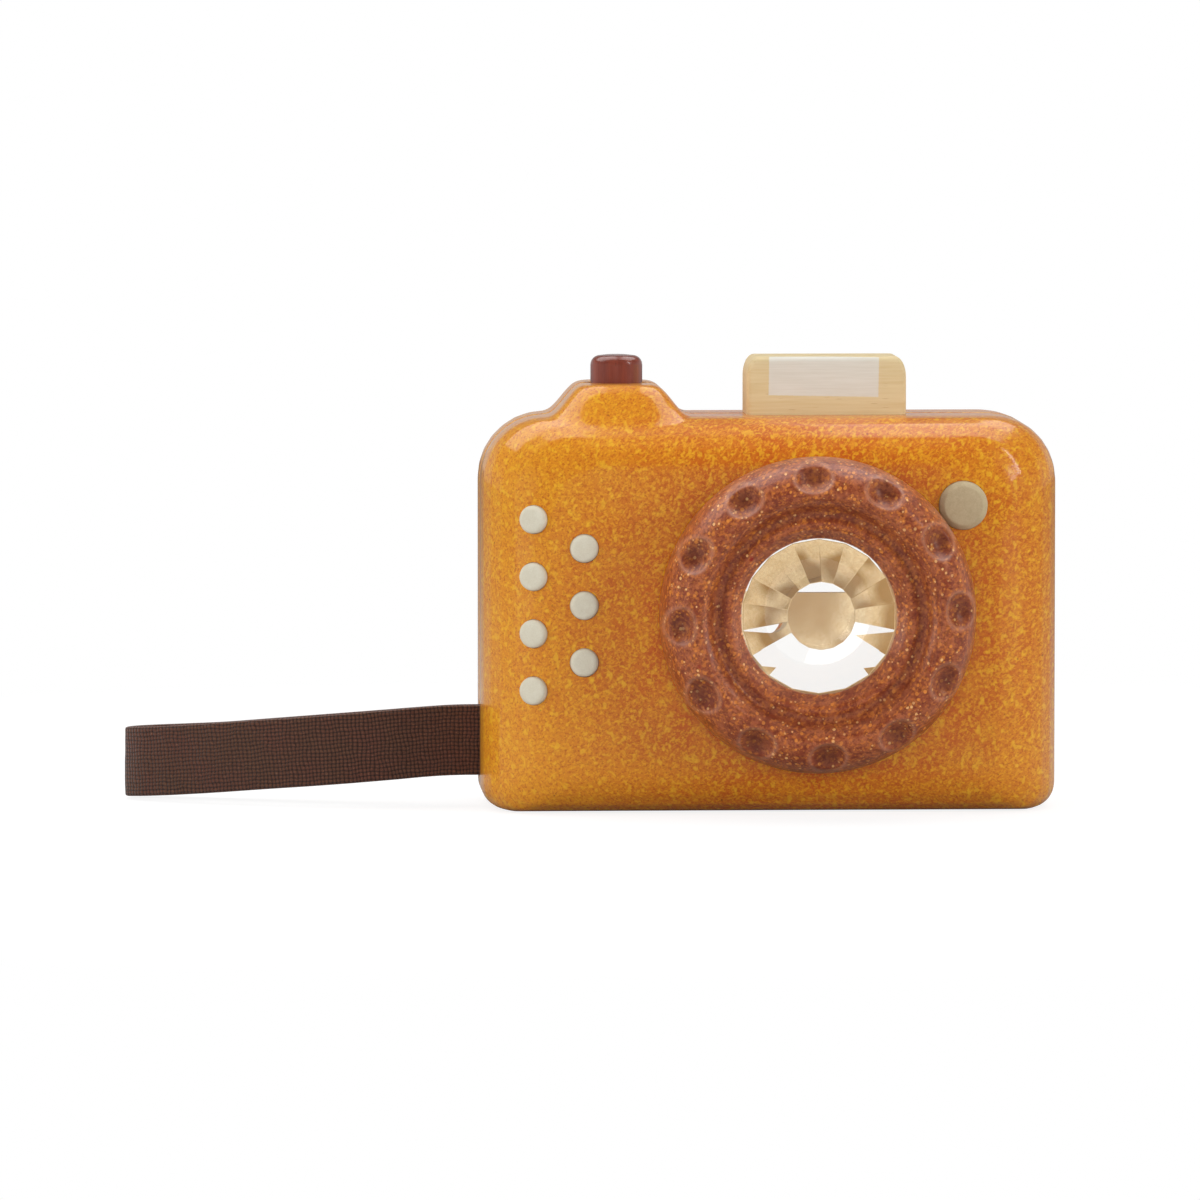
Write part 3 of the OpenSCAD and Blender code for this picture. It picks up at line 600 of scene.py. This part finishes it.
def makeButton():
    low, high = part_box("shutter_button")
    middle = (low + high) / 2
    bpy.ops.object.select_all(action='DESELECT')
    bpy.ops.mesh.primitive_circle_add(vertices=button["sides"], radius=(high.x - low.x) / 2,
                                      fill_type='NGON', location=(middle.x, middle.y, low.z))
    piece = startPrimitive("turned_button")
    placeInMesh(piece)
    editAll(piece)
    rise = high.z - low.z - button["dome"] * mm
    bpy.ops.mesh.extrude_region_move(TRANSFORM_OT_translate={"value": (0, 0, rise)})
    top = low.z + rise - tiny
    bpy.ops.object.mode_set(mode='OBJECT')
    bevelEdges(piece, lambda a, b: min(a.z, b.z) > top, button["edgeRound"], button["edgeSteps"])
    editSelected(piece, 'FACE', lambda centre, normal: centre.z > top and normal.z > button["flatNormal"])
    bpy.ops.mesh.inset(thickness=button["domeInset"] * mm, depth=button["dome"] * mm)
    bpy.ops.mesh.select_all(action='SELECT')
    bpy.ops.mesh.normals_make_consistent(inside=False)
    bpy.ops.object.mode_set(mode='OBJECT')
    shadeByAngle(piece)
    material = woodMaterial("darkStainedWood", *button["wood"], grain="Z", poreShare=0.05, Roughness=0.35,
                            Coat_Weight=0.8, Coat_Roughness=0.12)[0]
    dress(piece, "shutter", "dark_wood", material, "shutter_button")


makeButton()


# Flash block: a sanded block with a white painted panel on its front

flash = {"endRoundX": 1.9, "endRoundZ": 3.5, "endSteps": 8, "faceRound": 0.9, "faceSteps": 6, "foot": 0.1,
         "crease": 35, "panelMiddle": (9.4, 73.0), "panelHalf": (9.3, 3.34), "panelTilt": 1.0,
         "panelDepth": 1.0, "panelRagged": 0.18, "panelEdge": 0.05,
         "wood": [(231, 211, 167), (221, 197, 147), (198, 164, 114)],
         "paint": [(230, 225, 213), (222, 216, 202)]}


def flashMaterial(frontY):
    material, tree, shader, wood, streak = woodMaterial(
        "paleSandedWood", *flash["wood"], grain="X", poreShare=0.05, Roughness=0.55)
    x, z = flash["panelMiddle"]
    split = addNode(tree, "SeparateXYZ", {"Vector": objectMillimetres(
        tree, turn=(0, flash["panelTilt"], 0), place=(x, frontY / mm, z))})
    uneven = calc(tree, 'SUBTRACT', noise(tree, objectMillimetres(tree), 2.5, 2.0), 0.5)
    ragged = calc(tree, 'MULTIPLY', uneven, flash["panelRagged"])
    inside = calc(tree, 'LESS_THAN', split.outputs[1], flash["panelDepth"])
    for axis, half in zip((0, 2), flash["panelHalf"]):
        reach = calc(tree, 'ADD', calc(tree, 'ABSOLUTE', split.outputs[axis]), ragged)
        edge = ramp(tree, reach, half + flash["panelEdge"], half - flash["panelEdge"])
        inside = calc(tree, 'MULTIPLY', inside, edge)
    paint = blendColours(tree, ramp(tree, streak, 0.35, 0.7), *[colour(c) for c in flash["paint"]])
    tree.links.new(blendColours(tree, inside, wood, paint), shader.inputs["Base Color"])
    return material


def makeFlash():
    low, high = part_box("flash_block")
    size = high - low
    bpy.ops.object.select_all(action='DESELECT')
    bpy.ops.mesh.primitive_cube_add(size=1, location=(low + high) / 2)
    piece = startPrimitive("flash_body")
    piece.scale = size
    placeInMesh(piece)
    # the long rounding at the ends: squashed in height, bevelled, stretched back
    squeeze = flash["endRoundX"] / flash["endRoundZ"]
    piece.scale.z = squeeze
    placeInMesh(piece)
    topZ = high.z * squeeze - tiny
    bevelEdges(piece, lambda a, b: min(a.z, b.z) > topZ and abs(a.x - b.x) < tiny, flash["endRoundX"],
               flash["endSteps"])
    piece.scale.z = 1 / squeeze
    placeInMesh(piece)
    footZ = low.z + flash["foot"] * mm     # the edges on the foot stay square
    for y in (low.y, high.y):
        bevelEdges(piece, lambda a, b: abs(a.y - y) < tiny and abs(b.y - y) < tiny and max(a.z, b.z) > footZ,
                   flash["faceRound"], flash["faceSteps"])
    shadeByAngle(piece, math.radians(flash["crease"]))
    dress(piece, "body", "flash_wood", flashMaterial(low.y), "flash_block")


makeFlash()


# Pegs: painted, their rims a little uneven by hand

pegs = {"voxel": 0.2, "smoothing": 3, "uneven": 0.08, "unevenSize": 1.6, "cloudScale": 0.9,
        "speckScale": 4.5, "speckShare": 0.5, "relief": 0.03,
        "cream": [(230, 224, 204), (222, 214, 192)], "greyBeige": [(204, 186, 150), (192, 172, 136)]}


def pegMaterial(name, light, dark):
    material, tree, shader = startMaterial(name, Roughness=0.6, Specular_IOR_Level=0.35)
    place = objectMillimetres(tree)
    cloud = noise(tree, place, pegs["cloudScale"], 3.0, 0.6)
    speck = noise(tree, place, pegs["speckScale"], 2.0, 0.6)
    tone = blendValues(tree, pegs["speckShare"], cloud, speck)
    base = blendColours(tree, ramp(tree, tone, 0.36, 0.62), colour(light), colour(dark))
    tree.links.new(base, shader.inputs["Base Color"])
    tree.links.new(bump(tree, speck, pegs["relief"] * mm, 0.7), shader.inputs["Normal"])
    return material


def makePegs(node, name, slotName, material):
    piece = softened(copyNode(node, name), pegs)
    texture = bpy.data.textures.new(name + "Uneven", 'CLOUDS')
    texture.noise_scale = pegs["unevenSize"] * mm
    applyModifier(piece, 'DISPLACE', texture=texture, texture_coords='LOCAL', strength=pegs["uneven"] * mm,
                  mid_level=0.5)
    dress(piece, "body", slotName, material, node)


makePegs("grip_dots", "grip_pegs", "cream_pegs", pegMaterial("creamPaint", *pegs["cream"]))
makePegs("sensor_dot", "sensor_peg", "grey_peg", pegMaterial("greyBeigeStain", *pegs["greyBeige"]))


# Return spring: a round wire wound by the Screw modifier

spring = {"radius": 4.0, "wire": 0.4, "turns": 6, "stepsPerTurn": 28, "wireSides": 10, "crease": 60}
steel = {"tones": [(176, 176, 178), (204, 204, 205)], "brush": (0.15, 0.15, 3), "roughnessSpread": 0.08}


def steelMaterial(name, roughness):
    material, tree, shader = startMaterial(name, Metallic=1.0)
    brushed = noise(tree, objectMillimetres(tree, steel["brush"]), 1.0, 2.0)
    tone = blendColours(tree, brushed, *[colour(c) for c in steel["tones"]])
    tree.links.new(tone, shader.inputs["Base Color"])
    spread = steel["roughnessSpread"]
    polish = ramp(tree, brushed, 0.3, 0.7, roughness - spread, roughness + spread)
    tree.links.new(polish, shader.inputs["Roughness"])
    return material


def makeSpring():
    low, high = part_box("return_spring")
    middle = (low + high) / 2
    rise = high.z - low.z - 2 * spring["wire"] * mm
    bpy.ops.object.select_all(action='DESELECT')
    bpy.ops.mesh.primitive_circle_add(vertices=spring["wireSides"], radius=spring["wire"] * mm,
                                      fill_type='NOTHING', rotation=(math.pi / 2, 0, 0),
                                      location=(spring["radius"] * mm, 0, 0))
    piece = startPrimitive("coil_spring")
    placeInMesh(piece)
    steps = spring["turns"] * spring["stepsPerTurn"]
    applyModifier(piece, 'SCREW', axis='Z', angle=2 * math.pi * spring["turns"], screw_offset=rise,
                  steps=steps, render_steps=steps)
    editAll(piece)
    bpy.ops.mesh.fill_holes(sides=0)
    bpy.ops.mesh.normals_make_consistent(inside=False)
    bpy.ops.object.mode_set(mode='OBJECT')
    piece.location = (middle.x, middle.y, low.z + spring["wire"] * mm)
    placeInMesh(piece)
    shadeByAngle(piece, math.radians(spring["crease"]))
    dress(piece, "shutter", "steel", steelMaterial("springWire", 0.32), "return_spring")
    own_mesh(piece)


makeSpring()


# Inner pieces keep their CAD shapes and get wood or steel

innerWood = {"Y": ["alignment_dowels", "lens_sleeve", "sleeve_keeper", "spring_shelf"],
             "Z": ["button_collar", "flash_dowels", "strap_anchor"]}
innerSteel = ["keeper_screws", "button_screw"]
bareWood = [(226, 194, 148), (202, 162, 112), (166, 126, 82)]
# stain: the tint of the random stain patches, and painted shade in the middle of the end wall
barrel = {"wood": [(236, 224, 192), (219, 200, 160), (170, 132, 88)], "stainAndPaintedShade": (166, 138, 94),
          "stainSize": 7.5, "paintedShadeFrom": 9.0, "paintedShadeTo": 6.0, "paintedShadeShare": 0.75}


def finishNode(node, material):
    cadNodes[node].data.materials.clear()
    cadNodes[node].data.materials.append(material)


def barrelMaterial():                      # unevenly stained inside; painted shade darkens the middle of the end wall
    material, tree, shader, base = woodMaterial("barrelWood", *barrel["wood"], grain="Y", poreShare=0.06,
                                                Roughness=0.65)[:4]
    stainAndPaintedShade = colour(barrel["stainAndPaintedShade"])
    patches = ramp(tree, noise(tree, objectMillimetres(tree), 1 / barrel["stainSize"], 1.0), 0.42, 0.6)
    away = vectorLength(tree, lensOffset(tree))
    # painted shade: darker towards the middle of the end wall
    middle = ramp(tree, away, barrel["paintedShadeFrom"], barrel["paintedShadeTo"], 0.0, barrel["paintedShadeShare"])
    base = blendColours(tree, middle, blendColours(tree, patches, base, stainAndPaintedShade), stainAndPaintedShade)
    tree.links.new(base, shader.inputs["Base Color"])
    return material


def finishInnerPieces():
    for grain, nodes in innerWood.items():
        wood = woodMaterial("turnedWood" + grain, *bareWood, grain, poreShare=0.06, Roughness=0.65)[0]
        for node in nodes:
            finishNode(node, wood)
    finishNode("view_barrel", barrelMaterial())
    plain = steelMaterial("plainSteel", 0.3)
    for node in innerSteel:
        finishNode(node, plain)
    print("inner pieces finished")


finishInnerPieces()


# Stage: white floor, white surroundings, soft lamps

stage = {"floorSize": 8.0, "floorDrop": 0.05, "floorTone": (0.5, 0.5, 0.5, 1), "shadowFrom": 0.09,
         "shadowTo": 0.28, "glowNear": 0.84, "shadeNear": 0.25, "white": (1, 1, 1, 1), "roomLevel": 0.28,
         # the room in reflections: direction from, to, level from, to
         "mirroredBack": (-0.5, 0.25, 0.1, 0.5), "mirroredUp": (0.15, 0.45, 1.0, 0.15),
         "aim": (0, 0, 0.035),
         "lamps": {  # place, size, watts, seen in reflections
             "overheadLeft": ((-0.243, 0.13, 0.38), (0.454, 0.36), 1.0, True),
             "overheadRight": ((0.157, 0.13, 0.38), (0.25, 0.36), 0.6, True),
             "sideLeft": ((-0.62, -0.34, 0.16), (0.4, 0.4), 2.05, False),
             "sideRight": ((0.6, -0.38, 0.16), (0.3, 0.4), 1.75, False),
             "stripRight": ((0.55, -0.32, 0.42), (0.06, 0.3), 0.5, True),
             "front": ((-0.1, -1.2, 0.15), (0.6, 0.6), 3.0, False)},
         "barrelLamp": {"across": 0.03, "watts": 0.0078, "behindSleeve": 4}}


def addFloor():
    bpy.ops.object.select_all(action='DESELECT')
    bpy.ops.mesh.primitive_plane_add(size=stage["floorSize"], location=(0, 0, -stage["floorDrop"] * mm))
    floor = startPrimitive("floor")
    material, tree, shader = startMaterial("whiteFloor", Base_Color=stage["floorTone"], Roughness=0.9)
    path = addNode(tree, "LightPath", {})
    away = vectorLength(tree, addNode(tree, "TexCoord", {}).outputs["Object"])
    far = ramp(tree, away, stage["shadowFrom"], stage["shadowTo"])
    glow = addNode(tree, "Emission", {"Color": stage["white"],
                                      "Strength": blendValues(tree, far, stage["glowNear"], 1.0)})
    shade = blendValues(tree, far, stage["shadeNear"], 0.0)
    grey = addNode(tree, "CombineColor", {i: shade for i in range(3)}).outputs[0]
    paper = addNode(tree, "BsdfDiffuse", {"Color": grey})
    seen = addNode(tree, "AddShader", {0: glow.outputs[0], 1: paper.outputs[0]})
    white = calc(tree, 'MAXIMUM', path.outputs["Is Camera Ray"], path.outputs["Is Transmission Ray"])
    mixed = addNode(tree, "MixShader", {0: white, 1: shader.outputs[0], 2: seen.outputs[0]})
    tree.links.new(mixed.outputs[0], tree.nodes["Material Output"].inputs["Surface"])
    floor.data.materials.append(material)


def addWorld():
    world = bpy.data.worlds.new("whiteStudio")
    world.use_nodes = True
    bpy.context.scene.world = world
    tree = world.node_tree
    path = addNode(tree, "LightPath", {})
    direction = addNode(tree, "SeparateXYZ", {"Vector": addNode(tree, "TexCoord", {}).outputs["Generated"]})
    # dark room on the camera's side and overhead
    mirrored = calc(tree, 'MULTIPLY', ramp(tree, direction.outputs[1], *stage["mirroredBack"]),
                    ramp(tree, direction.outputs[2], *stage["mirroredUp"]))
    strength = blendValues(tree, path.outputs["Is Glossy Ray"], stage["roomLevel"], mirrored)
    seen = calc(tree, 'MAXIMUM', path.outputs["Is Camera Ray"], path.outputs["Is Transmission Ray"])
    strength = blendValues(tree, seen, strength, 1.0)
    tree.links.new(strength, tree.nodes["Background"].inputs["Strength"])
    tree.nodes["Background"].inputs["Color"].default_value = stage["white"]


def aimLamp(name, place, target, watts, reflected):
    bpy.ops.object.light_add(type='AREA', location=place)
    lamp = bpy.context.active_object
    lamp.name = name
    lamp.data.energy = watts
    lamp.rotation_euler = (Vector(place) - Vector(target)).to_track_quat('Z', 'Y').to_euler()
    lamp.visible_glossy = reflected
    return lamp


def addLamps():
    for name, (place, size, watts, reflected) in stage["lamps"].items():
        target = (place[0], place[1], 0) if name.startswith("overhead") else stage["aim"]
        lamp = aimLamp(name, place, target, watts, reflected)
        lamp.data.shape = 'RECTANGLE'
        lamp.data.size, lamp.data.size_y = size
    # a small lamp behind the lens stands for the daylight in the barrel
    glow = stage["barrelLamp"]
    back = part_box("lens_sleeve")[1].y + glow["behindSleeve"] * mm
    place = (lensAxis[0] * mm, back, lensAxis[1] * mm)
    lamp = aimLamp("barrelLamp", place, (place[0], 1, place[2]), glow["watts"], False)
    lamp.data.shape = 'DISK'
    lamp.data.size = glow["across"]
    lamp.visible_camera = lamp.visible_transmission = False


addFloor()
addWorld()
addLamps()
bpy.context.scene.view_settings.view_transform = 'Standard'
print("stage set")
